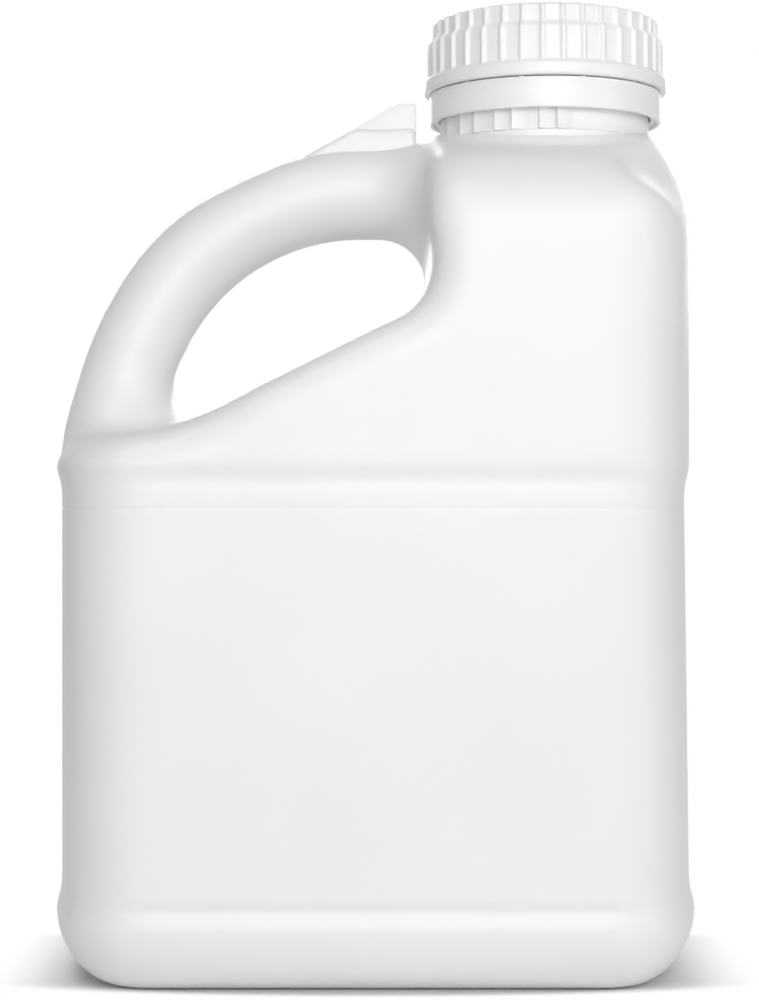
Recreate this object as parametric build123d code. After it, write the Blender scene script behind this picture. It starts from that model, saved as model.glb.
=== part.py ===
from build123d import *
import math
import os

# An empty one-piece blow-moulded jug with a hollow handle, and its screw cap.
# Millimetres, +Z up, front towards -Y, origin on the floor under the middle of the body.

# Body
body_length = 189.0
body_depth = 120.0
end_crown_radius = 150.0
corner_radius = 24.0
wall = 1.5

# Heights: the base band and panel from the floor, the rest down from the rim under the handle
band_top = 20.0
panel_bottom = 25.0
rim_height = 156.0
shoulder_drop = 9.5
panel_drop = 14.0
line_drop = 20.7

# Panel and fine line round the body
panel_recess = 1.6
line_depth = 0.3
line_width = 0.6

# Base
base_edge_radius = 19.0
base_ring_width = 7.0
push_up = 5.0

# Sloped shoulder under the handle, and the upright part that carries the neck
slope_start_inset = 34.5
slope_angle = 26.4
slope_blend = 70.0
pillar_margin = 3.3
pillar_blend = 13.0
rim_radius = 9.0

# Top of the upright part, above the rim
crown_rise = 90.0
crown_run = 38.0
crown_blend = 60.0
eaves_drop = 5.5
eaves_radius = 28.0

# Shoulder on the right: an arc seen from the front, whose plan tightens with its height
side_arc_radius = 42.8
side_arc_drop = 28.2
side_plan_margin = 18.0
side_plan_fade = 19.5
side_fade_power = 1.5
side_angles = (-8, 0, 8, 16, 25, 35, 46, 58)
side_crease_radius = 8.0

# Handle: an arch and a leg, tangent to each other
handle_thickness = 26.5
handle_depth = 29.0
handle_drop = 3.75
handle_arc_angle = 60.0
leg_end_angle = 86.0
leg_end_inset = 11.38
leg_end_drop = 17.4
junction_radius = 6.0

# Handle's flare into the upright wall: distance past the wall, growth above, below and in depth
wall_flare = (
    (-19.5, 0, 0, 0),
    (-15.5, 0, 0, 0.2),
    (-11.5, 0.1, 0.1, 1.3),
    (-7.5, 0.6, 1.1, 3.8),
    (-3.5, 1.8, 4.2, 8.6),
    (0, 2.9, 11, 16.5),
    (3, 3.3, 16, 20),
    (9.5, 3.4, 20, 21.5),
)

# Handle's flare into the rim: angle on the leg, growth inside and in depth
leg_flare = ((60, 0, 0), (62, 0, 0), (66, 0.2, 0.2), (70, 2.4, 1), (73, 7, 3), (76, 14, 7), (78.7, 19, 11))
root_growth = 20.0
root_aside = 12.0
root_inset = 12.4
root_trim = 1.2

# Where the moulding is cut into solids: past the rim, beside the upright wall, in the finger gap
handle_cut_rise = 12.0
handle_cut_gap = 2.0
finger_cut_rise = 9.0

# Fin on top of the handle
fin_thickness = 4.0
fin_step_thickness = 8.0
fin_gap = 2.5
fin_rise = 10.4
fin_top_length = 4.6
fin_step_rise = 2.4
fin_angle = 30.0
fin_root = 10.0

# Neck
neck_margin = 11.3
neck_radius = 29.8
neck_wall = 2.3
collar_width = 1.2
lip_width = 2.9
lip_height = 1.0
lip_fillet = 0.8
bead_width = 3.3
bead_height = 1.0
bead_slope = 2.6
rim_chamfer = 0.6

# Ratchet ribs on the collar, in two opposite quarters
rib_count = 8
rib_pitch = 12.0
rib_first_angle = 180.0
rib_height = 1.2
rib_land = 0.6
rib_top_gap = 0.3

# Tamper band
band_rise = 2.9
band_height = 8.5
band_thickness = 1.0
band_edge = 0.5
band_lip_height = 1.1
band_lip_start = 1.0
band_clearance = 0.5
bead_clearance = 0.4
slit_height = 0.6
bridge_count = 12
bridge_width = 1.2
bridge_height = 0.3

# Cap
cap_height = 21.2
cap_wall = 2.2
cap_upper_wall = 1.8
thread_room = 2.2
upper_room = 1.1
cap_top_thickness = 2.0
cap_step_drop = 6.8
cap_step_height = 1.6
cap_bead_width = 2.0
cap_bead_height = 3.9
cap_edge_chamfer = 0.8
cap_rib_count = 36
cap_rib_width = 2.8
cap_rib_crest = 0.8
cap_rib_height = 0.9
cap_rib_inset = 0.5

# Liner between the cap and the neck rim
liner_thickness = 1.5
liner_clearance = 0.6

# Places that follow from the sizes above
end_x = body_length / 2
lip_radius = neck_radius + lip_width
neck_x = end_x - neck_margin - lip_radius
pillar_x = neck_x - lip_radius - pillar_margin
crown_half_width = body_depth / 2 - crown_run
side_plan_radius = crown_half_width + side_plan_margin
slope_start_x = slope_start_inset - end_x
shoulder_start = rim_height - shoulder_drop
panel_top = rim_height - panel_drop
line_height = rim_height - line_drop
crown_height = rim_height + crown_rise
eaves_height = crown_height - eaves_drop
side_arc_z = crown_height - side_arc_drop
bore_radius = neck_radius - neck_wall
collar_radius = neck_radius + collar_width
bead_radius = neck_radius + bead_width
band_bottom = crown_height + lip_height + band_rise
cap_bottom = band_bottom + band_height + slit_height
cap_top = cap_bottom + cap_height
rim_top = cap_top - cap_top_thickness - liner_thickness
collar_top = band_bottom + band_lip_start + band_lip_height + bead_clearance
cap_bore_radius = neck_radius + thread_room
cap_upper_bore_radius = neck_radius + upper_room
cap_floor_radius = cap_bore_radius + cap_wall
cap_upper_floor_radius = cap_upper_bore_radius + cap_upper_wall
cap_bead_radius = cap_floor_radius + cap_bead_width
cap_step_bottom = cap_top - cap_step_drop


def plan_outline(inset):
    half_length = end_x - inset
    crown = end_crown_radius - inset
    shift = half_length - crown
    slab = Rectangle(2 * body_length, body_depth - 2 * inset)
    outline = slab & Pos(shift, 0) * Circle(crown) & Pos(-shift, 0) * Circle(crown)
    return fillet(outline.vertices(), corner_radius - inset)


def rounded_profile(points, blends, inset):
    # blends are pairs of a corner and its radius
    face = make_face(Polyline(*points, close=True))
    for corner, radius in blends:
        face = fillet(face.vertices().sort_by_distance(corner)[0], radius)
    if inset > 0:
        face = offset(face, amount=-inset, kind=Kind.INTERSECTION)
    return face


def front_outline(inset):
    # Seen along Y: flat rim, slope and the upright wall beside the handle
    reach = body_length
    below, above = panel_bottom, crown_height + cap_height
    foot = (pillar_x, rim_height + (pillar_x - slope_start_x) * math.tan(math.radians(slope_angle)))
    start = (slope_start_x, rim_height)
    points = [(-reach, below), (-reach, rim_height), start, foot, (pillar_x, above), (reach, above), (reach, below)]
    return rounded_profile(points, [(start, slope_blend), (foot, pillar_blend)], inset)


def end_outline(inset):
    # Seen along X: the front and back walls turn in under the neck
    half = body_depth / 2
    eaves = [(-half, eaves_height), (half, eaves_height)]
    crown = [(-crown_half_width, crown_height), (crown_half_width, crown_height)]
    points = [(-half, panel_bottom), eaves[0], crown[0], crown[1], eaves[1], (half, panel_bottom)]
    blends = [(eaves[0], eaves_radius), (eaves[1], eaves_radius)]
    blends += [(crown[0], crown_blend), (crown[1], crown_blend)]
    return rounded_profile(points, blends, inset)


def side_shoulder(inset):
    # Solid whose curved side is the shoulder on the right, from the end wall up to the neck
    # A section is a D whose straight sides lie outside the body, or inside the crease where the arc is tight
    arc_radius = side_arc_radius - inset
    back_x = neck_x - body_depth
    sections = []
    for degrees in side_angles:
        angle = math.radians(degrees)
        apex = end_x - side_arc_radius + arc_radius * math.cos(angle)
        height = side_arc_z + arc_radius * math.sin(angle)
        fade = math.exp(-((abs(degrees) / side_plan_fade) ** side_fade_power))
        radius = side_plan_radius + (end_crown_radius - side_plan_radius) * fade - inset
        half = min(body_depth / 2 + rim_radius, radius - neck_wall)
        corner_x = apex - radius + math.sqrt(radius**2 - half**2)
        outline = Polyline((corner_x, half), (back_x, half), (back_x, -half), (corner_x, -half))
        side = ThreePointArc((corner_x, -half), (apex, 0), (corner_x, half))
        sections.append(Pos(0, 0, height) * make_face(outline + side))
    return loft(sections)


def rim_edges(body, inset):
    # The run of edges along the rim, up the slope and round the upright wall
    chosen = []
    for edge in body.edges():
        middle = edge @ 0.5
        start, end = edge @ 0, edge @ 1
        upright_wall = abs(middle.X - pillar_x - inset) < 0.05
        left_side = middle.X < pillar_x and middle.Z > shoulder_start + 1
        across = abs(middle.Y) < 0.01 and middle.Z < eaves_height and middle.X > slope_start_x - slope_start_inset / 2
        seam = abs(start.X - end.X) + abs(start.Y - end.Y) < 0.01 and not upright_wall
        if (upright_wall or left_side) and not across and not seam:
            chosen.append(edge)
    return chosen


def upper_body(inset):
    plan = plan_outline(inset)
    block = extrude(Plane.XY.offset(shoulder_start) * plan, crown_height)
    block = block & extrude(Plane.XZ * front_outline(inset), body_depth, both=True)
    block = block & extrude(Plane.YZ * end_outline(inset), body_length, both=True)
    block = fillet(rim_edges(block, inset), rim_radius - inset)
    corner = Pos(neck_x, 0, side_arc_z) * Box(
        body_length, 2 * body_depth, crown_height, align=(Align.MIN, Align.CENTER, Align.MIN)
    )
    block = block - (corner - side_shoulder(inset))
    side = max(block.faces().filter_by(GeomType.BSPLINE), key=lambda face: face.area)
    crease = [
        edge
        for edge in side.edges()
        if abs((edge @ 0.5).Y) > bore_radius and (edge @ 0.5).Z < crown_height - inset - lip_height / 2
    ]
    return fillet(crease, side_crease_radius - inset)


def lower_body(inset):
    full = plan_outline(inset)
    panel = plan_outline(inset + panel_recess)
    base = extrude(Plane.XY.offset(inset) * full, band_top - inset)
    base = fillet(base.faces().sort_by(Axis.Z)[0].edges(), base_edge_radius - inset)
    foot_step = loft([Plane.XY.offset(band_top) * full, Plane.XY.offset(panel_bottom) * panel], ruled=True)
    wall_part = extrude(Plane.XY.offset(panel_bottom) * panel, panel_top - panel_bottom)
    head_step = loft([Plane.XY.offset(panel_top) * panel, Plane.XY.offset(shoulder_start) * full], ruled=True)
    body = base + foot_step + wall_part + head_step
    edge_inset = base_edge_radius + base_ring_width - inset
    hollow = extrude(plan_outline_small(edge_inset), push_up + inset, taper=45)
    return body - hollow


def plan_outline_small(inset):
    # Outline far inside the corners, where their radius has run out
    half_length = body_length / 2 - inset
    half_depth = body_depth / 2 - inset
    return RectangleRounded(2 * half_length, 2 * half_depth, corner_radius / 2)


def ring_station(x, z, lean, outer, inner, half_depth, inset):
    # An elliptical section across the handle: outer and inner are its reaches from the path
    angle = math.radians(lean)
    normal = Vector(-math.sin(angle), 0, math.cos(angle))
    middle = Vector(x, 0, z) + normal * ((outer - inner) / 2)
    section = Ellipse((outer + inner) / 2 - inset, half_depth - inset)
    along = Vector(-math.cos(angle), 0, -math.sin(angle))
    return Plane(origin=middle, x_dir=normal, z_dir=along) * section


def handle_path():
    # Radii of the arch and the leg that carry the path from its top down to the end wall
    top_x = pillar_x + wall_flare[0][0]
    top_z = crown_height - handle_drop - handle_thickness / 2
    across = top_x - (leg_end_inset - end_x)
    down = top_z - (rim_height - leg_end_drop)
    first, last = math.radians(handle_arc_angle), math.radians(leg_end_angle)
    leg_across, leg_down = math.sin(last) - math.sin(first), math.cos(first) - math.cos(last)
    arch_across, arch_down = math.sin(first), 1 - math.cos(first)
    share = arch_across * leg_down - leg_across * arch_down
    arch_radius = (across * leg_down - down * leg_across) / share
    leg_radius = (down * arch_across - across * arch_down) / share
    return top_x, top_z, arch_radius, leg_radius


def handle(inset):
    top_x, top_z, arch_radius, leg_radius = handle_path()
    half = handle_thickness / 2
    deep = handle_depth / 2
    start = ring_station(top_x, top_z, 0, half, half, deep, inset)
    arch = revolve(start, Axis((top_x, 0, top_z - arch_radius), (0, -1, 0)), handle_arc_angle)
    neck_side = loft(
        [
            ring_station(pillar_x + past, top_z, 0, half + above, half + below, deep + aside, inset)
            for past, above, below, aside in wall_flare
        ]
    )
    first = math.radians(handle_arc_angle)
    leg_x = top_x - arch_radius * math.sin(first)
    leg_z = top_z - arch_radius * (1 - math.cos(first))
    stations = []
    for lean, within, aside in leg_flare:
        angle = math.radians(lean)
        x = leg_x - leg_radius * (math.sin(angle) - math.sin(first))
        z = leg_z + leg_radius * (math.cos(angle) - math.cos(first))
        stations.append(ring_station(x, z, lean, half, half + within, deep + aside, inset))
    outer, within, aside = half - root_trim, half + root_growth, deep + root_aside
    root_x = root_inset - end_x
    stations.append(ring_station(root_x, shoulder_start + wall, leg_end_angle, outer, within, aside, inset))
    stations.append(ring_station(root_x, panel_top, 90, outer, within, aside, inset))
    return arch + neck_side + loft(stations)


def body_and_handle(inset):
    # The handle grows out of the upright wall and the rim with a soft fillet all round
    upper = upper_body(inset)
    above = Plane.XY.offset(shoulder_start) * Rectangle(2 * body_length, body_depth)
    grip = handle(inset) & extrude(above, crown_height)
    joined = upper + grip
    seam = [
        edge
        for edge in joined.edges()
        if (edge @ 0.5).Z > shoulder_start + wall
        and all(solid.distance_to(edge @ 0.5) < 0.001 for solid in (upper, grip))
    ]
    return fillet(seam, junction_radius + inset)


def fin():
    slope = math.tan(math.radians(fin_angle))
    front_x = pillar_x - fin_gap
    back_x = front_x - fin_top_length
    top_z, root_z = crown_height + fin_rise, crown_height - fin_root
    points = [(front_x, root_z), (front_x, top_z), (back_x, top_z), (back_x - (top_z - root_z) / slope, root_z)]
    blade = make_face(Plane.XZ * Polyline(*points, close=True))
    upper = extrude(blade, fin_thickness / 2, both=True)
    lower = extrude(blade, fin_step_thickness / 2, both=True)
    below = Pos(0, 0, crown_height + fin_step_rise) * Box(
        body_length, body_depth, crown_height, align=(Align.CENTER, Align.CENTER, Align.MAX)
    )
    return upper + (lower & below)


def turned(points):
    # A solid of revolution about the neck's axis, from radius and height pairs
    profile = make_face(Polyline(*[(neck_x + radius, 0, height) for radius, height in points], close=True))
    return revolve(profile, Axis((neck_x, 0, 0), (0, 0, 1)))


def neck_outside():
    bead_top = collar_top + bead_height
    root = crown_height - rim_radius
    lip_top = crown_height + lip_height
    lip_foot = crown_height - lip_width
    body = turned(
        [
            (0, root),
            (collar_radius, root),
            (collar_radius, collar_top),
            (bead_radius, collar_top),
            (bead_radius, bead_top),
            (neck_radius, bead_top + bead_slope),
            (neck_radius, rim_top - rim_chamfer),
            (neck_radius - rim_chamfer, rim_top),
            (0, rim_top),
        ]
    )
    lip = turned(
        [
            (0, root),
            (neck_radius, root),
            (lip_radius, lip_foot),
            (lip_radius, lip_top - lip_fillet),
            (lip_radius - lip_fillet, lip_top),
            (0, lip_top),
        ]
    )
    return body + lip


def ratchet_ribs():
    # Each rib has a ramp that lets the band's teeth pass one way and a steep face that holds them
    top = band_bottom + band_lip_start - rib_top_gap
    bottom = crown_height - lip_height
    root = neck_radius
    crest = collar_radius + rib_height
    profile = Polyline((root, -rib_height), (crest, rib_land), (crest, 2 * rib_land), (root, 3 * rib_land), close=True)
    rib = extrude(Pos(0, 0, bottom) * make_face(profile), top - bottom)
    ribs = []
    for quarter in (0, 180):
        for index in range(rib_count):
            angle = rib_first_angle + quarter + (index + 0.5) * rib_pitch
            ribs.append(Pos(neck_x, 0, 0) * Rot(0, 0, angle) * rib)
    return ribs


def bottle():
    outside = lower_body(0) + body_and_handle(0) + fin() + neck_outside()
    inside = lower_body(wall) + body_and_handle(wall)
    bore_bottom = crown_height - eaves_radius
    bore = Pos(neck_x, 0, bore_bottom) * Cylinder(
        bore_radius, crown_height, align=(Align.CENTER, Align.CENTER, Align.MIN)
    )
    line_face = plan_outline(panel_recess - wall) - plan_outline(panel_recess + line_depth)
    line = extrude(Plane.XY.offset(line_height) * line_face, line_width)
    return outside + ratchet_ribs() - inside - bore - line


def bottle_parts():
    # The one moulding is kept as four solids that meet face to face, cut at its own steps
    shell = bottle()
    reach = 2 * body_length
    below = Box(reach, reach, reach, align=(Align.CENTER, Align.CENTER, Align.MAX))
    above = Box(reach, reach, reach, align=(Align.MIN, Align.CENTER, Align.MIN))
    lower_space = Pos(0, 0, shoulder_start) * below
    neck_space = Pos(pillar_x, 0, crown_height + lip_height) * above
    cut_z = rim_height + handle_cut_rise
    slope = math.tan(math.radians(slope_angle))
    cut_x = pillar_x - handle_cut_gap
    gap_start = (slope_start_x + (handle_cut_rise - finger_cut_rise) / slope, cut_z)
    gap_end = (cut_x, rim_height + (cut_x - slope_start_x) * slope + finger_cut_rise)
    corners = [(-reach, cut_z), gap_start, gap_end, (cut_x, reach), (-reach, reach)]
    handle_space = extrude(Plane.XZ * make_face(Polyline(*corners, close=True)), reach, both=True)
    return {
        "bottle": shell & lower_space,
        "bottle_shoulder": shell - lower_space - neck_space - handle_space,
        "bottle_handle": shell & handle_space,
        "bottle_neck": shell & neck_space,
    }


def tamper_band():
    top = band_bottom + band_height
    inner = bead_radius + bead_clearance
    outer = inner + band_thickness
    lip_in = collar_radius + band_clearance
    lip_bottom = band_bottom + band_lip_start
    ring = turned(
        [
            (outer - band_edge, band_bottom),
            (outer, band_bottom + band_edge),
            (outer, top),
            (inner, top),
            (inner, lip_bottom + band_lip_height),
            (lip_in, lip_bottom + band_lip_height),
            (lip_in, lip_bottom),
            (inner - band_edge, lip_bottom),
            (inner, band_bottom),
        ]
    )
    bridge = Pos(outer - band_thickness / 2, 0, top) * Box(band_thickness, bridge_width, 2 * bridge_height)
    turns = [Rot(0, 0, 360 * index / bridge_count) for index in range(bridge_count)]
    return ring + [Pos(neck_x, 0, 0) * turn * bridge for turn in turns]


def cap_shell():
    bead_top = cap_bottom + cap_bead_height
    bead_edge = cap_bead_height / 4
    step_top = cap_step_bottom + cap_step_height
    ceiling = cap_top - cap_top_thickness
    return turned(
        [
            (cap_bore_radius, cap_bottom),
            (cap_bead_radius - bead_edge, cap_bottom),
            (cap_bead_radius, cap_bottom + bead_edge),
            (cap_bead_radius, bead_top - 2 * bead_edge),
            (cap_floor_radius, bead_top),
            (cap_floor_radius, cap_step_bottom),
            (cap_upper_floor_radius, step_top),
            (cap_upper_floor_radius, cap_top - cap_edge_chamfer),
            (cap_upper_floor_radius - cap_edge_chamfer, cap_top),
            (0, cap_top),
            (0, ceiling),
            (cap_upper_bore_radius, ceiling),
            (cap_upper_bore_radius, step_top),
            (cap_bore_radius, cap_step_bottom - cap_step_height),
        ]
    )


def cap_rib():
    # One grip ridge with slanting sides, running over both tiers and down into the bead
    foot = cap_bottom + cap_bead_height - cap_rib_inset
    step_top = cap_step_bottom + cap_step_height
    tiers = [
        (cap_floor_radius, foot),
        (cap_floor_radius, cap_step_bottom),
        (cap_upper_floor_radius, step_top),
        (cap_upper_floor_radius, cap_top - cap_edge_chamfer),
    ]
    spread = (cap_rib_width - cap_rib_crest) / 2 * (1 + cap_rib_inset / cap_rib_height)
    sections = []
    for radius, height in tiers:
        root, crest = radius - cap_rib_inset, radius + cap_rib_height
        wide, narrow = cap_rib_crest / 2 + spread, cap_rib_crest / 2
        corners = [(root, -wide), (crest, -narrow), (crest, narrow), (root, wide)]
        sections.append(Pos(0, 0, height) * make_face(Polyline(*corners, close=True)))
    return loft(sections, ruled=True)


def cap():
    rib = cap_rib()
    turns = [Rot(0, 0, 360 * index / cap_rib_count) for index in range(cap_rib_count)]
    return cap_shell() + [Pos(neck_x, 0, 0) * turn * rib for turn in turns]


def liner():
    radius = cap_upper_bore_radius - liner_clearance
    return Pos(neck_x, 0, rim_top) * Cylinder(
        radius, liner_thickness, align=(Align.CENTER, Align.CENTER, Align.MIN)
    )


def all_parts():
    return {**bottle_parts(), "tamper_band": tamper_band(), "cap": cap(), "liner": liner()}


os.makedirs("parts", exist_ok=True)
for name, solid in all_parts().items():
    export_step(solid, f"parts/{name}.step")
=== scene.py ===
import math

import bmesh
import bpy
import numpy as np
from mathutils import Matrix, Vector
from mathutils.bvhtree import BVHTree


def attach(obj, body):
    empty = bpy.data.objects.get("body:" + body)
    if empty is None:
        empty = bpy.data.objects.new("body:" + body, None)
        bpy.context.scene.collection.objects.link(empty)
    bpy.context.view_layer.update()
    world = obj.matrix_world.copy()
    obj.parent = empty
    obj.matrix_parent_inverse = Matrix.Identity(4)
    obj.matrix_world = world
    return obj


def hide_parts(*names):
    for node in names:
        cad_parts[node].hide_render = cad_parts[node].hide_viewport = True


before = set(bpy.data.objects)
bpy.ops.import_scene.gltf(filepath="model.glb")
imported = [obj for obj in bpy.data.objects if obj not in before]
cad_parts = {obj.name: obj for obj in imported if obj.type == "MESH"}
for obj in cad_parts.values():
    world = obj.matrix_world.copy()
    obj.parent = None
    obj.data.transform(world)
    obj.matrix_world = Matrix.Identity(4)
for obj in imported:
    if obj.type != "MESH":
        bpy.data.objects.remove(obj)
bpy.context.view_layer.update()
print("frame loaded:", sorted(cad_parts))

mm = 0.001

# The photograph's view: level, in line with the middle of the front, 700 mm off
viewpoint = {
    "place": (0.0011, -0.700, 0.1353),
    "lens": 84.0,
    "sensor": 36.0,
    "shiftX": -0.0005,
    "shiftY": 0.008,
}


def linearFromHex(code):
    # sRGB hex to the linear values that Blender works in
    values = []
    for start in (1, 3, 5):
        share = int(code[start:start + 2], 16) / 255
        values.append(share / 12.92 if share <= 0.04045 else ((share + 0.055) / 1.055) ** 2.4)
    return (*values, 1.0)


def addNode(tree, kind, settings=None, links=None):
    # settings are sockets by name, or attributes after a dot; links are sockets fed by (node, output)
    node = tree.nodes.new(kind)
    for name, value in (settings or {}).items():
        if str(name).startswith("."):
            setattr(node, name[1:], value)
        else:
            node.inputs[name].default_value = value
    for name, (source, output) in (links or {}).items():
        tree.links.new(source.outputs[output], node.inputs[name])
    return node


def newMaterial(name):
    material = bpy.data.materials.new(name)
    material.use_nodes = True
    material.node_tree.nodes.clear()
    return material, material.node_tree


# Bottle: blow-moulded high-density polyethylene, natural white with titanium dioxide
blownPolyethyleneLook = {
    "pale": "#F4F4F3",
    "deep": "#EEEEED",
    "roughness": (0.36, 0.46),
    "ior": 1.54,
    "subsurface": 0.18,
    "subsurfaceDepth": 2.5 * mm,
    "peelWidth": 1.6 * mm,
    "peelDepth": 0.012 * mm,
    "sagWidth": 45 * mm,
    "sagDepth": 0.10 * mm,
}


def makeBlownPolyethylene(look):
    # Satin skin: the cold mould gives it a fine orange peel and a slow waviness, and light sinks in a little
    material, tree = newMaterial("blownPolyethylene")
    place = addNode(tree, "ShaderNodeTexCoord")
    sag = addNode(
        tree, "ShaderNodeTexNoise",
        {"Scale": 1 / look["sagWidth"], "Detail": 1.0, "Roughness": 0.4},
        {"Vector": (place, "Object")},
    )
    peel = addNode(
        tree, "ShaderNodeTexNoise",
        {"Scale": 1 / look["peelWidth"], "Detail": 2.0, "Roughness": 0.5},
        {"Vector": (place, "Object")},
    )
    tone = addNode(
        tree, "ShaderNodeMix",
        {".data_type": "RGBA", "A": linearFromHex(look["deep"]), "B": linearFromHex(look["pale"])},
        {"Factor": (sag, "Fac")},
    )
    low, high = look["roughness"]
    gloss = addNode(
        tree, "ShaderNodeMapRange",
        {"From Min": 0.3, "From Max": 0.7, "To Min": low, "To Max": high},
        {"Value": (peel, "Fac")},
    )
    slowBump = addNode(
        tree, "ShaderNodeBump",
        {"Strength": 1.0, "Distance": look["sagDepth"]},
        {"Height": (sag, "Fac")},
    )
    fineBump = addNode(
        tree, "ShaderNodeBump",
        {"Strength": 1.0, "Distance": look["peelDepth"]},
        {"Height": (peel, "Fac"), "Normal": (slowBump, "Normal")},
    )
    skin = addNode(
        tree, "ShaderNodeBsdfPrincipled",
        {
            "IOR": look["ior"],
            "Subsurface Weight": look["subsurface"],
            "Subsurface Radius": (1.0, 0.95, 0.9),
            "Subsurface Scale": look["subsurfaceDepth"],
        },
        {"Base Color": (tone, "Result"), "Roughness": (gloss, "Result"), "Normal": (fineBump, "Normal")},
    )
    addNode(tree, "ShaderNodeOutputMaterial", {}, {"Surface": (skin, "BSDF")})
    return material


# Cap and tamper band: injection-moulded polypropylene
mouldedPolypropyleneLook = {
    "pale": "#F7F7F6",
    "deep": "#F1F1F0",
    "roughness": (0.28, 0.36),
    "ior": 1.49,
    "subsurface": 0.12,
    "subsurfaceDepth": 1.2 * mm,
    "grainWidth": 0.6 * mm,
    "grainDepth": 0.004 * mm,
    "flowWidth": 18 * mm,
}


def makeMouldedPolypropylene(look):
    # Steel mould skin: smoother and a little glossier than the bottle, with faint flow clouding
    material, tree = newMaterial("mouldedPolypropylene")
    place = addNode(tree, "ShaderNodeTexCoord")
    flow = addNode(
        tree, "ShaderNodeTexNoise",
        {"Scale": 1 / look["flowWidth"], "Detail": 2.0},
        {"Vector": (place, "Object")},
    )
    grain = addNode(
        tree, "ShaderNodeTexNoise",
        {"Scale": 1 / look["grainWidth"], "Detail": 1.0},
        {"Vector": (place, "Object")},
    )
    tone = addNode(
        tree, "ShaderNodeMix",
        {".data_type": "RGBA", "A": linearFromHex(look["deep"]), "B": linearFromHex(look["pale"])},
        {"Factor": (flow, "Fac")},
    )
    low, high = look["roughness"]
    gloss = addNode(
        tree, "ShaderNodeMapRange",
        {"From Min": 0.3, "From Max": 0.7, "To Min": low, "To Max": high},
        {"Value": (flow, "Fac")},
    )
    bump = addNode(
        tree, "ShaderNodeBump",
        {"Strength": 1.0, "Distance": look["grainDepth"]},
        {"Height": (grain, "Fac")},
    )
    skin = addNode(
        tree, "ShaderNodeBsdfPrincipled",
        {
            "IOR": look["ior"],
            "Subsurface Weight": look["subsurface"],
            "Subsurface Radius": (1.0, 0.95, 0.9),
            "Subsurface Scale": look["subsurfaceDepth"],
        },
        {"Base Color": (tone, "Result"), "Roughness": (gloss, "Result"), "Normal": (bump, "Normal")},
    )
    addNode(tree, "ShaderNodeOutputMaterial", {}, {"Surface": (skin, "BSDF")})
    return material


# Liner: expanded polyethylene foam wad
foamPolyethyleneLook = {
    "wall": "#F2F1EC",
    "cell": "#DEDCD3",
    "roughness": 0.85,
    "ior": 1.5,
    "cellWidth": 0.5 * mm,
    "cellDepth": 0.08 * mm,
}


def makeFoamPolyethylene(look):
    # Closed cells give it a matt, finely pitted face
    material, tree = newMaterial("foamPolyethylene")
    place = addNode(tree, "ShaderNodeTexCoord")
    cells = addNode(
        tree, "ShaderNodeTexVoronoi",
        {"Scale": 1 / look["cellWidth"]},
        {"Vector": (place, "Object")},
    )
    tone = addNode(
        tree, "ShaderNodeMix",
        {".data_type": "RGBA", "A": linearFromHex(look["cell"]), "B": linearFromHex(look["wall"])},
        {"Factor": (cells, "Distance")},
    )
    bump = addNode(
        tree, "ShaderNodeBump",
        {"Strength": 1.0, "Distance": look["cellDepth"]},
        {"Height": (cells, "Distance")},
    )
    skin = addNode(
        tree, "ShaderNodeBsdfPrincipled",
        {"Roughness": look["roughness"], "IOR": look["ior"]},
        {"Base Color": (tone, "Result"), "Normal": (bump, "Normal")},
    )
    addNode(tree, "ShaderNodeOutputMaterial", {}, {"Surface": (skin, "BSDF")})
    return material


blownPolyethylene = makeBlownPolyethylene(blownPolyethyleneLook)
mouldedPolypropylene = makeMouldedPolypropylene(mouldedPolypropyleneLook)
foamPolyethylene = makeFoamPolyethylene(foamPolyethyleneLook)
print("materials made")


def dress(node, material):
    node.data.materials.clear()
    node.data.materials.append(material)


def addPiece(name, mesh, material, body, slot, *replaced):
    mesh.materials.clear()
    mesh.materials.append(material)
    piece = bpy.data.objects.new(name, mesh)
    bpy.context.scene.collection.objects.link(piece)
    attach(piece, body)
    if replaced:
        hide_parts(*replaced)


def joinRows(shape, row, following):
    # a closed band of faces between two rows of as many points
    for step in range(len(row)):
        after = (step + 1) % len(row)
        shape.faces.new((row[step], following[step], following[after], row[after]))


def meshFrom(name, shape, smooth=True, sharpAngle=None):
    # edges that turn by more than sharpAngle degrees stay sharp
    for face in shape.faces:
        face.smooth = smooth
    if sharpAngle is not None:
        for edge in shape.edges:
            edge.smooth = edge.calc_face_angle(0) < math.radians(sharpAngle)
    mesh = bpy.data.meshes.new(name)
    shape.to_mesh(mesh)
    shape.free()
    return mesh


def smoothStep(values, low, high):
    share = np.clip((values - low) / (high - low), 0, 1)
    return share * share * (3 - 2 * share)


# Jug body: one blown skin over the CAD's outside, with the soft corners that blown plastic has (sizes in mm)
jugLook = {
    "voxel": 1.5,
    "neckX": 50.5,
    "plug": (28.3, 246.95, 48),      # lid that shuts the neck for the remesh: radius, height, sides
    "neckHole": (30.3, 228),         # the skin is open under the neck: radius, and from what height up
    "levelPushes": (0.5, -0.52) * 5,  # smooths in pairs of steps that keep the volume
    "softRounds": 7,
    "blendRounds": 34,
    "gapRounds": 45,
    "gapSpots": ((14, 200, 10.0), (-58, 165, 8.0)),  # ends of the finger gap: across, up, spread
    "fineLine": (135.3, 0.25, 0.4),  # height, depth, half width
    "partingLine": (0.14, 0.35, 6),  # rise, half width, lowest height
}
jugParts = ("bottle", "bottle_shoulder", "bottle_handle")

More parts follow.
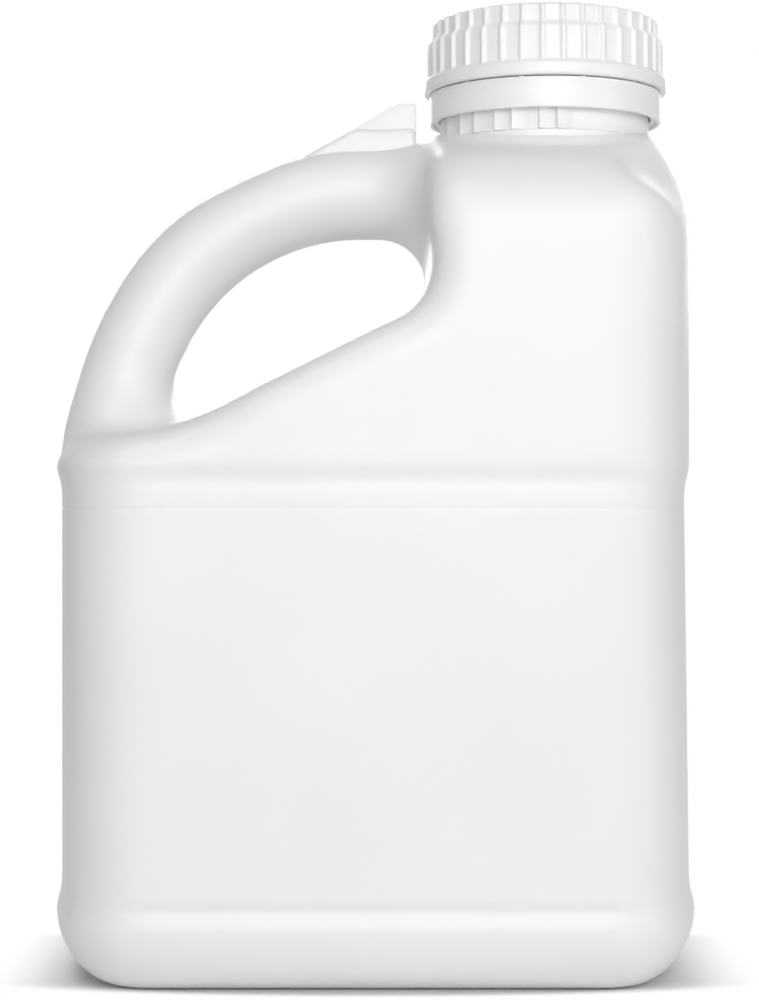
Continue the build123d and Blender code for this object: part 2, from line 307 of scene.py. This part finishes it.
# Where the blown form leaves the solids' plain one; a pair is where a change starts and where it is full
warpLook = {
    "rightDrawIn": (0.3, 1.8, 2.0),  # right wall: above the foot, under the shoulder, beside the neck
    "rightWall": (62, 88),
    "rightRise": (20, 140),
    "rightTop": (140, 152),
    "crownDrop": 6.2,                # the crown falls to the front and back
    "crownHalfDepth": 44,
    "crownHeights": (195, 246),
    "crownAcross": (4, 22),
    "panelPush": 0.9,                # front and back panels stand nearly flush
    "panelFoot": (24, 27),
    "panelTop": (139, 145),
    "panelSide": (58, 86),
    "panelFace": (40, 56),
    "gapEnd": (12.5, 203, 8.0),      # finger gap beside the upright wall: across, up, spread
    "gapEndMove": 1.5,
    "handleBack": (-42, 236, 15.0),
    "handleBackMove": (0.75, -0.85),
    "padRise": 0.7,                  # raised ring on the crown round the neck
    "padRadius": (32.6, 34.4),
    "padHeights": (225, 235),
}

# Top of the handle without its fin: an arch, then a flare up to the neck
handleTop = {
    "archMiddle": (-5, 158.2),
    "archRadius": 84.0,
    "flareAcross": (-5, 3, 7, 11, 14.5),
    "flareHeights": (242.2, 242.35, 242.85, 244.05, 245.15),
    "halfThickness": 13.25,
    "halfDepth": 14.5,
    "finHalf": 5.2,
    "finAcross": (-42, 13.5),
}

# Where the moulding flows from form to form
blendPlaces = {
    "rootAcross": (30, 44),          # to the left of the middle
    "rootFoot": (148, 153),
    "rootTop": (172, 184),
    "upright": (16, 13),             # middle and spread across
    "uprightFoot": (182, 194),
    "shoulderAcross": (52, 66),
    "shoulderFoot": (192, 208),
    "shoulderTop": (240, 243),
}


def trianglesOf(names):
    points, faces, start = [], [], 0
    for name in names:
        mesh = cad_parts[name].data
        mesh.calc_loop_triangles()
        corners = np.empty(len(mesh.vertices) * 3)
        mesh.vertices.foreach_get("co", corners)
        sides = np.empty(len(mesh.loop_triangles) * 3, dtype=np.int64)
        mesh.loop_triangles.foreach_get("vertices", sides)
        points.append(corners.reshape(-1, 3))
        faces.append(sides.reshape(-1, 3) + start)
        start += len(mesh.vertices)
    return np.concatenate(points), np.concatenate(faces)


def splitSkins(points, faces):
    # A face is outside when a level or downward ray from it meets nothing,
    # and inside when its rays meet the fronts of faces more often than their backs
    tree = BVHTree.FromPolygons(points.tolist(), faces.tolist())
    corners = points[faces]
    normals = np.cross(corners[:, 1] - corners[:, 0], corners[:, 2] - corners[:, 0])
    sizes = np.linalg.norm(normals, axis=1)
    keep = sizes > 1e-12
    normals[keep] /= sizes[keep, None]
    starts = corners.mean(axis=1) + normals * 0.2 * mm
    rays = [(1, 0, 0), (-1, 0, 0), (0, 1, 0), (0, -1, 0), (0, 0, -1)]
    rays += [(0.7071, 0.7071, 0), (0.7071, -0.7071, 0), (-0.7071, 0.7071, 0), (-0.7071, -0.7071, 0)]
    directions = np.array(rays, dtype=float)
    order = np.argsort(-(normals @ directions.T), axis=1)
    vectors = [Vector(ray) for ray in rays]
    outside, inside = [], []
    for index in np.nonzero(keep)[0]:
        start = Vector(starts[index])
        fronts = 0
        for which in order[index]:
            hit, normal, _, _ = tree.ray_cast(start, vectors[which])
            if hit is None:
                outside.append(index)
                break
            fronts += 1 if normal.dot(vectors[which]) < 0 else -1
        else:
            if fronts > 0:
                inside.append(index)
    return faces[outside], faces[inside]


def spot(x, z, place):
    # 1 at a place seen from the front, fading out round it
    across, up, spread = place
    return np.exp(-((x - across) ** 2 + (z - up) ** 2) / spread ** 2)


def warpJug(points, look):
    # points in mm; brings the solids' plain forms to the blown ones
    x, y, z = points[:, 0].copy(), points[:, 1].copy(), points[:, 2].copy()
    foot, under, beside = look["rightDrawIn"]
    low, high = look["rightRise"]
    inwards = foot + (under - foot) * np.clip((z - low) / (high - low), 0, 1)
    inwards += (beside - under) * smoothStep(z, *look["rightTop"])
    points[:, 0] = x - inwards * smoothStep(x, *look["rightWall"])
    reach = look["crownHalfDepth"]
    fall = (1 - np.cos(np.pi * np.clip(np.abs(y), 0, reach) / reach)) / 2
    crown = smoothStep(z, *look["crownHeights"]) * smoothStep(x, *look["crownAcross"])
    points[:, 2] = z - look["crownDrop"] * fall * crown
    panel = smoothStep(z, *look["panelFoot"]) * (1 - smoothStep(z, *look["panelTop"]))
    panel *= 1 - smoothStep(np.abs(x), *look["panelSide"])
    points[:, 1] = y + np.sign(y) * look["panelPush"] * panel * smoothStep(np.abs(y), *look["panelFace"])
    # the finger gap's end is rounder, and the handle's back a little flatter
    points[:, 0] += look["gapEndMove"] * spot(x, z, look["gapEnd"])
    back = spot(x, z, look["handleBack"])
    across, up = look["handleBackMove"]
    points[:, 0] += across * back
    points[:, 2] += up * back
    away = np.hypot(points[:, 0] - jugLook["neckX"], points[:, 1])
    pad = 1 - smoothStep(away, *look["padRadius"])
    points[:, 2] += look["padRise"] * pad * smoothStep(z, *look["padHeights"])
    return points


def levelHandle(points, look):
    # takes the fin off the handle's back, since it is made as sharper pieces below
    x, y, z = points.T
    middle, height = look["archMiddle"]
    arch = height + np.sqrt(np.clip(look["archRadius"] ** 2 - (x - middle) ** 2, 0, None))
    flare = np.interp(x, look["flareAcross"], look["flareHeights"])
    fall = 1 - np.sqrt(1 - np.clip(y / look["halfDepth"], -0.9, 0.9) ** 2)
    back = np.where(x < middle, arch, flare) - look["halfThickness"] * fall
    low, high = look["finAcross"]
    onFin = (np.abs(y) < look["finHalf"]) & (x > low) & (x < high) & (z > back)
    points[onFin, 2] = back[onFin]
    return points


def relax(points, edges, weights, rounds, push=0.5):
    count = len(points)
    near = np.bincount(edges.ravel(), minlength=count)[:, None]
    for _ in range(rounds):
        total = np.empty_like(points)
        for axis in range(3):
            total[:, axis] = np.bincount(edges[:, 0], points[edges[:, 1], axis], count)
            total[:, axis] += np.bincount(edges[:, 1], points[edges[:, 0], axis], count)
        points = points + push * weights[:, None] * (total / near - points)
    return points


def blendWeights(points, look):
    # handle root, upright wall beside the finger gap, and right shoulder
    x, y, z = points.T
    root = smoothStep(-x, *look["rootAcross"]) * smoothStep(z, *look["rootFoot"])
    root *= 1 - smoothStep(z, *look["rootTop"])
    middle, spread = look["upright"]
    upright = np.exp(-(((x - middle) / spread) ** 2)) * smoothStep(z, *look["uprightFoot"])
    shoulder = smoothStep(x, *look["shoulderAcross"]) * smoothStep(z, *look["shoulderFoot"])
    shoulder *= 1 - smoothStep(z, *look["shoulderTop"])
    return np.clip(np.maximum(np.maximum(root, upright), shoulder), 0, 1)


def meshArrays(mesh):
    corners = np.empty(len(mesh.vertices) * 3)
    mesh.vertices.foreach_get("co", corners)
    edges = np.empty(len(mesh.edges) * 2, dtype=np.int64)
    mesh.edges.foreach_get("vertices", edges)
    return corners.reshape(-1, 3), edges.reshape(-1, 2)


def scoreLine(shape, normal, middle, half, shift, chosen):
    # cuts a fine line into the skin and moves its middle points along their normals
    for place in (middle - half, middle, middle + half):
        geometry = shape.verts[:] + shape.edges[:] + shape.faces[:]
        point = Vector(normal) * place * mm
        bmesh.ops.bisect_plane(shape, geom=geometry, plane_co=point, plane_no=normal, dist=1e-7)
    shape.normal_update()
    axis = [abs(part) for part in normal].index(1)
    line = [vert for vert in shape.verts if abs(vert.co[axis] - middle * mm) < 2e-7 and chosen(vert)]
    for vert in line:
        vert.co += vert.normal * shift * mm


def shutSkin(points, outside, look):
    # the outside faces with a lid over the neck, remeshed to one even skin
    radius, height, sides = look["plug"]
    lid = [(look["neckX"] * mm, 0, height * mm)]
    for step in range(sides):
        angle = 2 * math.pi * step / sides
        across, deep = radius * math.cos(angle), radius * math.sin(angle)
        lid.append(((look["neckX"] + across) * mm, deep * mm, height * mm))
    start = len(points)
    lidFaces = [(start, start + 1 + step, start + 1 + (step + 1) % sides) for step in range(sides)]
    rough = bpy.data.meshes.new("roughSkin")
    rough.from_pydata(points.tolist() + lid, [], outside.tolist() + lidFaces)
    holder = bpy.data.objects.new("roughSkin", rough)
    bpy.context.scene.collection.objects.link(holder)
    remesh = holder.modifiers.new("remesh", "REMESH")
    remesh.mode = "VOXEL"
    remesh.voxel_size = look["voxel"] * mm
    skin = bpy.data.meshes.new_from_object(holder.evaluated_get(bpy.context.evaluated_depsgraph_get()))
    bpy.data.objects.remove(holder)
    return skin


def blowSkin(skin, look):
    # softens the remeshed skin and gives it the blown form
    places, edges = meshArrays(skin)
    places = levelHandle(places / mm, handleTop)
    everywhere = np.ones(len(places))
    for push in look["levelPushes"]:
        places = relax(places, edges, everywhere, 1, push)
    places = relax(places, edges, everywhere, look["softRounds"])
    places = relax(places, edges, blendWeights(places, blendPlaces), look["blendRounds"])
    places = warpJug(places, warpLook)
    ends = [spot(places[:, 0], places[:, 2], place) for place in look["gapSpots"]]
    places = relax(places, edges, np.maximum(*ends), look["gapRounds"])
    skin.vertices.foreach_set("co", (places * mm).ravel())
    skin.update()


def openAndScore(skin, look):
    # opens the skin under the neck and cuts the fine line and the parting line
    shape = bmesh.new()
    shape.from_mesh(skin)
    bpy.data.meshes.remove(skin)
    neck = Vector((look["neckX"] * mm, 0, 0))
    radius, height = look["neckHole"]
    under = [
        vert for vert in shape.verts
        if vert.co.z > height * mm and (vert.co.xy - neck.xy).length < radius * mm
    ]
    bmesh.ops.delete(shape, geom=under, context="VERTS")
    height, depth, half = look["fineLine"]
    scoreLine(shape, (0, 0, 1), height, half, -depth, lambda vert: True)
    rise, half, lowest = look["partingLine"]
    scoreLine(shape, (0, 1, 0), 0, half, rise, lambda vert: vert.co.z > lowest * mm)
    return meshFrom("jugSkin", shape)


def makeLining(points, inside):
    used, numbers = np.unique(inside, return_inverse=True)
    lining = bpy.data.meshes.new("jugInside")
    places = warpJug(points[used] / mm, warpLook) * mm
    lining.from_pydata(places.tolist(), [], numbers.reshape(-1, 3).tolist())
    lining.polygons.foreach_set("use_smooth", [True] * len(lining.polygons))
    lining.update()
    return lining


def makeJug(look):
    points, faces = trianglesOf(jugParts)
    outside, inside = splitSkins(points, faces)
    skin = shutSkin(points, outside, look)
    blowSkin(skin, look)
    skin = openAndScore(skin, look)
    lining = makeLining(points, inside)
    print("jug skin:", len(skin.polygons), "faces, inside:", len(lining.polygons))
    return skin, lining


jugSkin, jugInside = makeJug(jugLook)
addPiece("jugSkin", jugSkin, blownPolyethylene, "bottle", "bottle", *jugParts)
addPiece("jugInside", jugInside, blownPolyethylene, "bottle", "bottle")


def softenPath(points, steps=4):
    # points are (across, up, corner radius); a corner becomes a short curve
    path = []
    count = len(points)
    for index, (across, up, radius) in enumerate(points):
        here = Vector((across, up))
        if radius == 0:
            path.append(here)
            continue
        before = Vector(points[index - 1][:2])
        after = Vector(points[(index + 1) % count][:2])
        first = here + (before - here).normalized() * radius
        last = here + (after - here).normalized() * radius
        for step in range(steps + 1):
            share = step / steps
            path.append(first * (1 - share) ** 2 + here * 2 * share * (1 - share) + last * share ** 2)
    return path


def turnMesh(name, rings):
    # rings: for each angle, the section's points in mm; neighbours are joined, and the last joins the first
    shape = bmesh.new()
    rows = [[shape.verts.new(Vector(point) * mm) for point in ring] for ring in rings]
    for index, row in enumerate(rows):
        joinRows(shape, row, rows[(index + 1) % len(rows)])
    bmesh.ops.remove_doubles(shape, verts=shape.verts[:], dist=1e-7)
    bmesh.ops.recalc_face_normals(shape, faces=shape.faces[:])
    return meshFrom(name, shape, sharpAngle=32)


def aroundNeck(angle, radius, height):
    return (jugLook["neckX"] + radius * math.cos(angle), radius * math.sin(angle), height)


def turnPath(name, path, steps=160):
    # one section turned about the neck's axis
    angles = [2 * math.pi * step / steps for step in range(steps)]
    return turnMesh(name, [[aroundNeck(angle, *point) for point in path] for angle in angles])


# Both screw threads: sizes in mm, steps of the helix in a turn and in its run-out
threadSection = {
    "pitch": 5.0,
    "depth": 1.55,
    "rootWidth": 2.7,
    "crestWidth": 1.0,
    "sunk": 0.3,            # depth of the root in the wall
    "edgeRound": 0.22,
    "stepsPerTurn": 90,
    "runOut": 12,
    "leastCrest": 0.3,      # share of the crest's width left at the ends
}


def helixRings(look, wallRadius, turnsShown, start, inwards):
    # a screw thread's section carried up a right-handed helix; its ends run out into the wall
    rings = []
    perTurn = look["stepsPerTurn"]
    steps = int(turnsShown * perTurn)
    for step in range(steps + 1):
        angle = 2 * math.pi * step / perTurn
        ends = min(1.0, min(step, steps - step) / look["runOut"])
        height = start + look["pitch"] * step / perTurn
        depth = look["depth"] * ends * (-1 if inwards else 1)
        root, crest = look["rootWidth"] / 2, look["crestWidth"] / 2 * max(ends, look["leastCrest"])
        wall = wallRadius + (look["sunk"] if inwards else -look["sunk"])
        tip = wallRadius + depth
        section = [(wall, -root), (tip, -crest), (tip, crest), (wall, root)]
        rings.append([aroundNeck(angle, radius, height + up) for radius, up in section])
    return rings


def helixMesh(name, look, wallRadius, turnsShown, start, inwards=False):
    rings = helixRings(look, wallRadius, turnsShown, start, inwards)
    shape = bmesh.new()
    rows = [[shape.verts.new(Vector(point) * mm) for point in ring] for ring in rings]
    for row, following in zip(rows, rows[1:]):
        joinRows(shape, row, following)
    shape.faces.new(rows[0])
    shape.faces.new(rows[-1])
    bmesh.ops.recalc_face_normals(shape, faces=shape.faces[:])
    bmesh.ops.bevel(
        shape, geom=[edge for edge in shape.edges if edge.calc_face_angle(0) > math.radians(25)],
        offset=look["edgeRound"] * mm, segments=2, affect="EDGES", clamp_overlap=True,
    )
    return meshFrom(name, shape)


# Neck: the moulded screw finish, with ratchet teeth in two opposite quarters
neckLook = {
    "toothAngles": (191.5, 202.2, 215.5, 226.2, 239.2, 248.8, 263.3, 272.6),  # crests, seen from above
    "toothHeight": 1.15,
    "toothHollow": 1.6,     # power of the ramp's curve
    "toothRamp": 8.5,       # degrees from crest to foot
    "toothFace": 0.8,
    "toothRadii": (30.6, 31.0),  # sunk root, and the collar that the teeth stand on
    "toothHeights": (244.2, 250.6),
    "toothEdge": 0.12,
    "threadRadius": 29.8,
    "threadTurns": 2.6,
    "threadFrom": 259.5,
}

neckPath = softenPath([
    (31.4, 235.5, 0), (31.4, 243.9, 0.15), (31.0, 244.2, 0.15), (31.0, 252.4, 0.25), (33.1, 252.4, 0.3),
    (33.1, 253.4, 0.4), (29.8, 256.0, 0.4), (29.8, 276.7, 0.7), (27.3, 276.7, 0.5), (27.3, 238.5, 0.6),
    (29.0, 235.5, 0.5),
])


def makeTeeth(look):
    # saw teeth: a steep face on one side and a hollow ramp on the other
    shape = bmesh.new()
    shares = [step / 8 for step in range(9)]
    sunk, collar = look["toothRadii"]
    for half in (0, 180):
        for crest in look["toothAngles"]:
            face = crest + half - look["toothFace"]
            outline = [(face, sunk), (face, collar)]
            for share in shares:
                rise = look["toothHeight"] * (1 - share) ** look["toothHollow"]
                outline.append((crest + half + share * look["toothRamp"], collar + rise))
            outline.append((crest + half + look["toothRamp"], sunk))
            foot, head = [
                [shape.verts.new(Vector(aroundNeck(math.radians(angle), radius, height)) * mm)
                 for angle, radius in outline]
                for height in look["toothHeights"]
            ]
            joinRows(shape, foot, head)
            shape.faces.new(foot)
            shape.faces.new(head)
    bmesh.ops.recalc_face_normals(shape, faces=shape.faces[:])
    sharp = [edge for edge in shape.edges if edge.calc_face_angle(0) > math.radians(40)]
    offset = look["toothEdge"] * mm
    bmesh.ops.bevel(shape, geom=sharp, offset=offset, segments=2, affect="EDGES", clamp_overlap=True)
    return meshFrom("ratchetTeeth", shape, sharpAngle=32)


neckFinish = turnPath("neckFinish", neckPath)
neckThread = helixMesh(
    "neckThread", threadSection, neckLook["threadRadius"], neckLook["threadTurns"], neckLook["threadFrom"]
)
addPiece("neckFinish", neckFinish, blownPolyethylene, "bottle", "bottle", "bottle_neck")
addPiece("ratchetTeeth", makeTeeth(neckLook), blownPolyethylene, "bottle", "bottle")
addPiece("neckThread", neckThread, blownPolyethylene, "bottle", "bottle")
print("neck made")


# Fin on the handle: a thin plate standing on a thicker foot (outlines seen from the front, in mm)
finLook = {
    "finFoot": {
        "half": 4.1,
        "round": 1.7,
        "outline": [
            (-33.0, 229.0, 0), (-27.6, 237.0, 0), (-6.6, 248.55, 2.0), (1.5, 248.35, 0), (11.6, 248.95, 2.0),
            (12.3, 240.0, 0), (9.0, 232.0, 0), (-10.0, 228.0, 0),
        ],
    },
    "finPlate": {
        "half": 2.0,
        "round": 0.35,
        "outline": [
            (-9.0, 244.0, 0), (-6.0, 248.9, 0), (6.3, 256.2, 0.9), (11.75, 256.3, 0.5), (12.0, 247.5, 0),
            (11.0, 244.0, 0),
        ],
    },
}


def drawIn(path, amount):
    # moves each point of a closed outline inwards along its corner's bisector
    moved = []
    count = len(path)
    turning = sum(last.x * here.y - here.x * last.y for last, here in zip([path[-1]] + path, path))
    side = 1 if turning > 0 else -1
    for index in range(count):
        before = (path[index] - path[index - 1]).normalized()
        after = (path[(index + 1) % count] - path[index]).normalized()
        normal = Vector((-before.y - after.y, before.x + after.x)) * side
        normal.normalize()
        lean = max(0.5, abs(normal.dot(Vector((-after.y, after.x)))))
        moved.append(path[index] + normal * amount / lean)
    return moved


def makeFin(name, look, segments=4):
    # the outline's two sides have rounded edges, as rows that draw in towards the faces
    shape = bmesh.new()
    path = softenPath(look["outline"], 5)
    sides = []
    for side in (-1, 1):
        quarter = []
        for step in range(segments + 1):
            angle = math.pi / 2 * step / segments
            across = side * (look["half"] - look["round"] + look["round"] * math.sin(angle))
            inner = drawIn(path, look["round"] * (1 - math.cos(angle)))
            quarter.append([shape.verts.new(Vector((point.x, across, point.y)) * mm) for point in inner])
        sides.append(quarter)
    rows = sides[0][::-1] + sides[1]
    for row, following in zip(rows, rows[1:]):
        joinRows(shape, row, following)
    shape.faces.new(rows[0])
    shape.faces.new(rows[-1])
    bmesh.ops.recalc_face_normals(shape, faces=shape.faces[:])
    return meshFrom(name, shape, sharpAngle=35)


for finName, finSizes in finLook.items():
    addPiece(finName, makeFin(finName, finSizes), blownPolyethylene, "bottle", "bottle")
print("fin made")


# Cap: grip ribs over a stepped wall, standing on a round bead (radii and heights in mm)
capLook = {
    "ribs": 36,
    "firstRib": 0.5,
    "ribHeight": 0.92,
    "beadRadius": 36.2,
    "floorRadius": 34.2,
    "upperRadius": 32.7,
    "step": (273.1, 275.3),
    "slopeStart": (35.85, 262.8),   # radius and height where the bead's top slopes in to the ribs
    "slope": 1.6,
    "threadRadius": 32.0,
    "threadTurns": 1.8,
    "threadFrom": 262.0,
}
# across a rib: distance from its middle in mm, and share of its height
ribSection = (
    (-2.1, 0), (-1.3, 0), (-1.12, 0.04), (-0.95, 0.19), (-0.58, 0.7), (-0.36, 0.93), (-0.2, 1), (0, 1),
    (0.2, 1), (0.36, 0.93), (0.58, 0.7), (0.95, 0.19), (1.12, 0.04), (1.3, 0), (2.1, 0),
)
capInside = [(0, 278.2), (30.6, 278.2), (30.9, 277.9), (30.9, 275.0), (32.0, 271.8), (32.0, 259.35)]


def capOutside(look, rise):
    # one upright line of the outside, from the bottom edge to the middle of the lid
    low, high = look["step"]
    path = [(32.35, 259.0), (35.6, 259.0), (35.95, 259.1), (36.15, 259.35), (look["beadRadius"], 259.7)]
    path += [(look["beadRadius"], 262.1), (36.15, 262.4), (36.0, 262.65)]
    radius, foot = look["slopeStart"]
    for height in (foot, 263.0, 263.2, 263.4, 263.6, 263.8, 264.0, 264.3):
        slope = radius - look["slope"] * (height - foot)
        path.append((max(slope, look["floorRadius"] + rise), height))
    drop = look["floorRadius"] - look["upperRadius"]
    for share in (0, 0.1, 0.2, 0.35, 0.5, 0.65, 0.8, 0.9, 1):
        bend = share * share * (3 - 2 * share)
        path.append((look["floorRadius"] - drop * bend + rise, low + (high - low) * share))
    path += [(look["upperRadius"] + rise, 279.2), (look["upperRadius"] - 0.05 + 0.8 * rise, 279.55)]
    path += [(32.35 + 0.45 * rise, 279.9), (31.95 + 0.15 * rise, 280.12), (31.5, 280.2), (30.4, 280.2)]
    path += [(30.1, 280.12), (29.8, 279.95), (29.4, 279.9), (15.0, 279.85), (0, 279.85)]
    return path


def makeCap(look):
    rings = []
    for rib in range(look["ribs"]):
        middle = 2 * math.pi * (rib + look["firstRib"]) / look["ribs"]
        for aside, share in ribSection:
            angle = middle + aside / look["floorRadius"]
            path = capOutside(look, share * look["ribHeight"]) + capInside
            rings.append([aroundNeck(angle, *point) for point in path])
    return turnMesh("ribbedCap", rings)


# Tamper band: thin ring with a turned-in lip, and the stubs of its broken bridges
bandPath = softenPath([
    (33.4, 249.9, 0.25), (34.5, 249.9, 0.5), (34.5, 258.7, 0.3), (33.5, 258.7, 0.2), (33.5, 252.1, 0.1),
    (31.6, 251.7, 0.2), (31.6, 250.95, 0.15), (33.0, 250.7, 0.2),
])
bridgeLook = {
    "count": 12,
    "width": 1.2,
    "heights": (258.4, 258.92),
    "radii": (33.6, 34.4),
    "taper": 0.7,           # share of the width left at the torn end
    "edgeRound": 0.06,
}


def makeBridges(look):
    shape = bmesh.new()
    inner, outer = look["radii"]
    low, high = look["heights"]
    half = look["width"] / 2 / outer
    for index in range(look["count"]):
        middle = 2 * math.pi * (index + 0.5) / look["count"]
        corners = [(inner, -half), (outer, -half), (outer, half), (inner, half)]
        foot = [shape.verts.new(Vector(aroundNeck(middle + turn, r, low)) * mm) for r, turn in corners]
        head = [
            shape.verts.new(Vector(aroundNeck(middle + look["taper"] * turn, (r + outer) / 2, high)) * mm)
            for r, turn in corners
        ]
        joinRows(shape, foot, head)
        shape.faces.new(foot)
        shape.faces.new(head)
    bmesh.ops.recalc_face_normals(shape, faces=shape.faces[:])
    bmesh.ops.bevel(
        shape, geom=shape.edges[:],
        offset=look["edgeRound"] * mm, segments=1, affect="EDGES", clamp_overlap=True,
    )
    return meshFrom("bridgeStubs", shape, smooth=False)


addPiece("ribbedCap", makeCap(capLook), mouldedPolypropylene, "cap", "closure", "cap")
capThread = helixMesh(
    "capThread", threadSection, capLook["threadRadius"], capLook["threadTurns"], capLook["threadFrom"],
    inwards=True,
)
tamperBand = turnPath("tamperBand", bandPath)
addPiece("capThread", capThread, mouldedPolypropylene, "cap", "closure")
addPiece("tamperBand", tamperBand, mouldedPolypropylene, "bottle", "closure", "tamper_band")
addPiece("bridgeStubs", makeBridges(bridgeLook), mouldedPolypropylene, "bottle", "closure")
print("cap and band made")

dress(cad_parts["liner"], foamPolyethylene)


# Studio: a pale floor that turns to plain white away from the jug
studio = {
    "floorSize": 8.0,
    "floorPale": "#F2F2F2",
    "shadowHalfWidth": 0.112,
    "shadowDepth": (0.034, 0.022),  # full shadow to the first, faded out by the second past it
    "fadeFrom": 0.72,               # share of the shadow's reach at which the white starts
    "worldGrey": "#969696",
    "worldStrength": 0.5,
}


def seenRays(tree):
    # camera, glossy and transmission rays, to which floor and world show plain white
    ray = addNode(tree, "ShaderNodeLightPath")
    seen = addNode(
        tree, "ShaderNodeMath", {".operation": "MAXIMUM"},
        {0: (ray, "Is Camera Ray"), 1: (ray, "Is Glossy Ray")},
    )
    return addNode(
        tree, "ShaderNodeMath", {".operation": "MAXIMUM"}, {0: (seen, 0), 1: (ray, "Is Transmission Ray")}
    )


def makeFloor(look):
    shape = bmesh.new()
    bmesh.ops.create_grid(shape, x_segments=8, y_segments=8, size=look["floorSize"] / 2)
    floor = bpy.data.objects.new("floor", meshFrom("floor", shape, smooth=False))
    bpy.context.scene.collection.objects.link(floor)
    material, tree = newMaterial("paintedFloor")
    place = addNode(tree, "ShaderNodeTexCoord")
    parts = addNode(tree, "ShaderNodeSeparateXYZ", {}, {"Vector": (place, "Object")})
    across = addNode(
        tree, "ShaderNodeMath", {".operation": "DIVIDE", 1: look["shadowHalfWidth"]}, {0: (parts, "X")}
    )
    depth = addNode(tree, "ShaderNodeMath", {".operation": "ABSOLUTE"}, {0: (parts, "Y")})
    full, gone = look["shadowDepth"]
    beyond = addNode(
        tree, "ShaderNodeMapRange", {"From Min": full, "From Max": full + gone}, {"Value": (depth, 0)}
    )
    reach = addNode(tree, "ShaderNodeCombineXYZ", {}, {"X": (across, 0), "Y": (beyond, "Result")})
    away = addNode(tree, "ShaderNodeVectorMath", {".operation": "LENGTH"}, {"Vector": (reach, "Vector")})
    fade = addNode(
        tree, "ShaderNodeMapRange",
        {".interpolation_type": "SMOOTHSTEP", "From Min": look["fadeFrom"], "From Max": 1.0},
        {"Value": (away, "Value")},
    )
    share = addNode(
        tree, "ShaderNodeMath", {".operation": "MULTIPLY"}, {0: (fade, "Result"), 1: (seenRays(tree), 0)}
    )
    paint = addNode(tree, "ShaderNodeBsdfDiffuse", {"Color": linearFromHex(look["floorPale"])})
    white = addNode(tree, "ShaderNodeEmission", {"Strength": 1.0})
    surface = addNode(tree, "ShaderNodeMixShader", {}, {"Fac": (share, 0), 1: (paint, 0), 2: (white, 0)})
    addNode(tree, "ShaderNodeOutputMaterial", {}, {"Surface": (surface, "Shader")})
    floor.data.materials.append(material)


def makeWorld(look):
    world = bpy.data.worlds.new("studioAir")
    bpy.context.scene.world = world
    world.use_nodes = True
    tree = world.node_tree
    tree.nodes.clear()
    grey = addNode(
        tree, "ShaderNodeBackground",
        {"Color": linearFromHex(look["worldGrey"]), "Strength": look["worldStrength"]},
    )
    white = addNode(tree, "ShaderNodeBackground", {"Color": (1, 1, 1, 1), "Strength": 1.0})
    air = addNode(tree, "ShaderNodeMixShader", {}, {"Fac": (seenRays(tree), 0), 1: (grey, 0), 2: (white, 0)})
    addNode(tree, "ShaderNodeOutputWorld", {}, {"Surface": (air, "Shader")})


# Soft boxes: place, what they aim at, width, height and watts
softBoxes = {
    "front": {"place": (0.15, -1.5, 0.68), "aim": (0.0, 0.0, 0.17), "size": (1.0, 0.7), "watts": 8.5},
    "low": {"place": (-0.05, -1.5, 0.20), "aim": (0.0, 0.0, 0.14), "size": (0.9, 0.6), "watts": 4.0},
    "topLeft": {"place": (-0.4, -0.75, 1.5), "aim": (0.0, 0.0, 0.18), "size": (0.5, 0.5), "watts": 3.4},
    "back": {"place": (0.1, 1.7, 0.7), "aim": (0.0, 0.0, 0.14), "size": (1.2, 0.8), "watts": 16},
    "rightStrip": {"place": (1.1, -0.7, 0.35), "aim": (0.05, 0.0, 0.16), "size": (0.25, 0.9), "watts": 2.0},
    "stripe": {"place": (0.62, -1.10, 0.36), "aim": (0.07, -0.05, 0.2), "size": (0.06, 0.45), "watts": 0.7},
}


def addSoftBox(name, box):
    lamp = bpy.data.lights.new(name, "AREA")
    lamp.shape = "RECTANGLE"
    lamp.size, lamp.size_y = box["size"]
    lamp.energy = box["watts"]
    holder = bpy.data.objects.new(name, lamp)
    holder.location = box["place"]
    holder.rotation_mode = "QUATERNION"
    aim = Vector(box["aim"]) - Vector(box["place"])
    holder.rotation_quaternion = aim.to_track_quat("-Z", "Y")
    bpy.context.scene.collection.objects.link(holder)


def addCamera(view):
    lens = bpy.data.cameras.new("camera")
    lens.lens = view["lens"]
    lens.sensor_width = view["sensor"]
    lens.shift_x = view["shiftX"]
    lens.shift_y = view["shiftY"]
    holder = bpy.data.objects.new("camera", lens)
    holder.location = view["place"]
    holder.rotation_euler = (math.radians(90), 0, 0)
    bpy.context.scene.collection.objects.link(holder)
    bpy.context.scene.camera = holder


makeFloor(studio)
makeWorld(studio)
for boxName, boxSettings in softBoxes.items():
    addSoftBox(boxName, boxSettings)
addCamera(viewpoint)
bpy.context.scene.view_settings.view_transform = "Standard"
print("studio set up")
